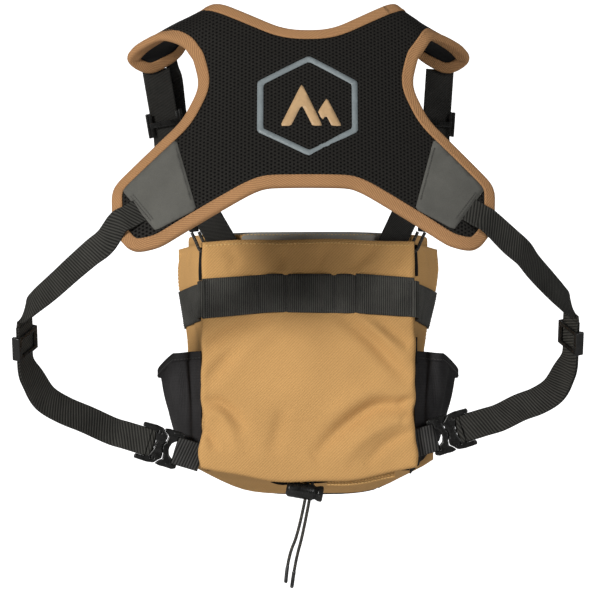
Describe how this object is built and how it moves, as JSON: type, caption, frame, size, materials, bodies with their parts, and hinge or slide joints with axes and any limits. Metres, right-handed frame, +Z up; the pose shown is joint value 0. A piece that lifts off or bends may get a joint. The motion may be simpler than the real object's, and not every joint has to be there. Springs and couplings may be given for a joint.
{
  "type": "binocular harness pack",
  "caption": "Chest pack for binoculars with a hinged lid, hung from a padded X-shaped back yoke by adjustable webbing straps with side-release buckles.",
  "frame": {"origin": "on the mid-plane between the tops of the two shoulder arms, where the harness hangs on the wearer's shoulders", "axes": "+Z up, +Y from the wearer's back to the chest, +X to the right as seen from behind the wearer"},
  "size_m": [0.5028, 0.2636, 0.522],
  "materials": {
    "black_mesh": "spacer mesh",
    "black_foam": "closed cell foam",
    "black_lining": "brushed lining",
    "tan_binding": "twill tape",
    "grey_patch": "matte coated cloth",
    "grey_print": "printed film",
    "tan_print": "printed film",
    "black_webbing": "woven webbing",
    "black_plastic": "moulded acetal",
    "black_cord": "braided shock cord",
    "tan_twill": "coated twill",
    "grey_lid": "brushed lining",
    "black_stretch": "stretch knit",
    "bright_steel": "plated"
  },
  "bodies": {
    "harness": {"back_panel": "tan_twill", "back_webbing_band": "black_webbing", "bottom_panel": "tan_twill", "buckle_tabs": "black_webbing", "emblem_frame": "grey_print", "emblem_peaks": "tan_print", "front_panel": "tan_twill", "hem_binding": "tan_binding", "left_armhole_binding": "tan_binding", "left_buckle_male": "black_plastic", "left_draw_cord": "black_cord", "left_gusset": "tan_twill", "left_shoulder_binding": "tan_binding", "left_shoulder_pad": "black_lining", "left_shoulder_webbing": "black_webbing", "left_side_band": "black_webbing", "left_side_pocket": "black_stretch", "left_side_webbing": "black_webbing", "neck_binding": "tan_binding", "right_armhole_binding": "tan_binding", "right_buckle_male": "black_plastic", "right_draw_cord": "black_cord", "right_gusset": "tan_twill", "right_shoulder_binding": "tan_binding", "right_shoulder_pad": "black_lining", "right_shoulder_webbing": "black_webbing", "right_side_band": "black_webbing", "right_side_pocket": "black_stretch", "right_side_webbing": "black_webbing", "rim_magnets": "bright_steel", "sleeve_wall": "black_lining", "tether_sockets": "black_plastic", "tether_webbings": "black_webbing", "wing_patches": "grey_patch", "yoke_foam": "black_foam", "yoke_lining": "black_lining", "yoke_mesh_panel": "black_mesh"},
    "lid": {"lid": "grey_lid", "lid_magnets": "bright_steel"},
    "cord_lock": {"cord_lock_barrel": "black_plastic", "cord_lock_spring": "bright_steel"},
    "cord_lock_button": {"cord_lock_button": "black_plastic"},
    "left_side_strap": {"left_strap_loop": "black_webbing", "left_buckle_female": "black_plastic"},
    "left_side_triglide": {"left_side_triglide": "black_plastic"},
    "left_shoulder_slider": {"left_shoulder_slider": "black_plastic"},
    "left_upper_latch": {"left_upper_latch_arm": "black_plastic"},
    "left_lower_latch": {"left_lower_latch_arm": "black_plastic"},
    "left_tether": {"left_tether_plug": "black_plastic", "left_tether_cord": "black_cord"},
    "right_side_strap": {"right_strap_loop": "black_webbing", "right_buckle_female": "black_plastic"},
    "right_side_triglide": {"right_side_triglide": "black_plastic"},
    "right_shoulder_slider": {"right_shoulder_slider": "black_plastic"},
    "right_upper_latch": {"right_upper_latch_arm": "black_plastic"},
    "right_lower_latch": {"right_lower_latch_arm": "black_plastic"},
    "right_tether": {"right_tether_plug": "black_plastic", "right_tether_cord": "black_cord"}
  },
  "joints": [
    {"name": "lid_hinge", "type": "hinge", "parent": "harness", "child": "lid", "pos_m": [0, 0.158, -0.1855], "axis": [-1, 0, 0], "range_deg": [0, 160]},
    {"name": "left_buckle_release", "type": "slide", "parent": "harness", "child": "left_side_strap", "axis": [-0.9563, 0, 0.2924], "range_m": [0, 0.022]},
    {"name": "left_side_triglide_slide", "type": "slide", "parent": "left_side_strap", "child": "left_side_triglide", "axis": [0, 0.42, -0.9075], "range_m": [-0.008, 0.008]},
    {"name": "left_shoulder_slider_slide", "type": "slide", "parent": "harness", "child": "left_shoulder_slider", "axis": [0.1661, 0.0867, -0.9823], "range_m": [-0.01, 0.01]},
    {"name": "left_upper_latch_press", "type": "hinge", "parent": "harness", "child": "left_upper_latch", "pos_m": [-0.12712, 0.0682, -0.3588], "axis": [0, -1, 0], "range_deg": [0, 7], "stiffness_Nm_per_rad": 0.05},
    {"name": "left_lower_latch_press", "type": "hinge", "parent": "harness", "child": "left_lower_latch", "pos_m": [-0.13223, 0.0682, -0.37554], "axis": [0, 1, 0], "range_deg": [0, 7], "stiffness_Nm_per_rad": 0.05},
    {"name": "left_tether_release", "type": "slide", "parent": "harness", "child": "left_tether", "axis": [0.0824, 0.0389, -0.9958], "range_m": [0, 0.008]},
    {"name": "right_buckle_release", "type": "slide", "parent": "harness", "child": "right_side_strap", "axis": [0.9563, 0, 0.2924], "range_m": [0, 0.022]},
    {"name": "right_side_triglide_slide", "type": "slide", "parent": "right_side_strap", "child": "right_side_triglide", "axis": [0, 0.42, -0.9075], "range_m": [-0.008, 0.008]},
    {"name": "right_shoulder_slider_slide", "type": "slide", "parent": "harness", "child": "right_shoulder_slider", "axis": [-0.0629, 0.0877, -0.9942], "range_m": [-0.01, 0.01]},
    {"name": "right_upper_latch_press", "type": "hinge", "parent": "harness", "child": "right_upper_latch", "pos_m": [0.12212, 0.0682, -0.3468], "axis": [0, 1, 0], "range_deg": [0, 7], "stiffness_Nm_per_rad": 0.05},
    {"name": "right_lower_latch_press", "type": "hinge", "parent": "harness", "child": "right_lower_latch", "pos_m": [0.12723, 0.0682, -0.36354], "axis": [0, -1, 0], "range_deg": [0, 7], "stiffness_Nm_per_rad": 0.05},
    {"name": "right_tether_release", "type": "slide", "parent": "harness", "child": "right_tether", "axis": [-0.0824, 0.0389, -0.9958], "range_m": [0, 0.008]},
    {"name": "cord_lock_slide", "type": "slide", "parent": "harness", "child": "cord_lock", "axis": [-0.1736, 0, -0.9848], "range_m": [0, 0.018]},
    {"name": "cord_lock_press", "type": "slide", "parent": "cord_lock", "child": "cord_lock_button", "axis": [-0.9848, 0, 0.1736], "range_m": [0, 0.0035], "stiffness_N_per_m": 300}
  ]
}
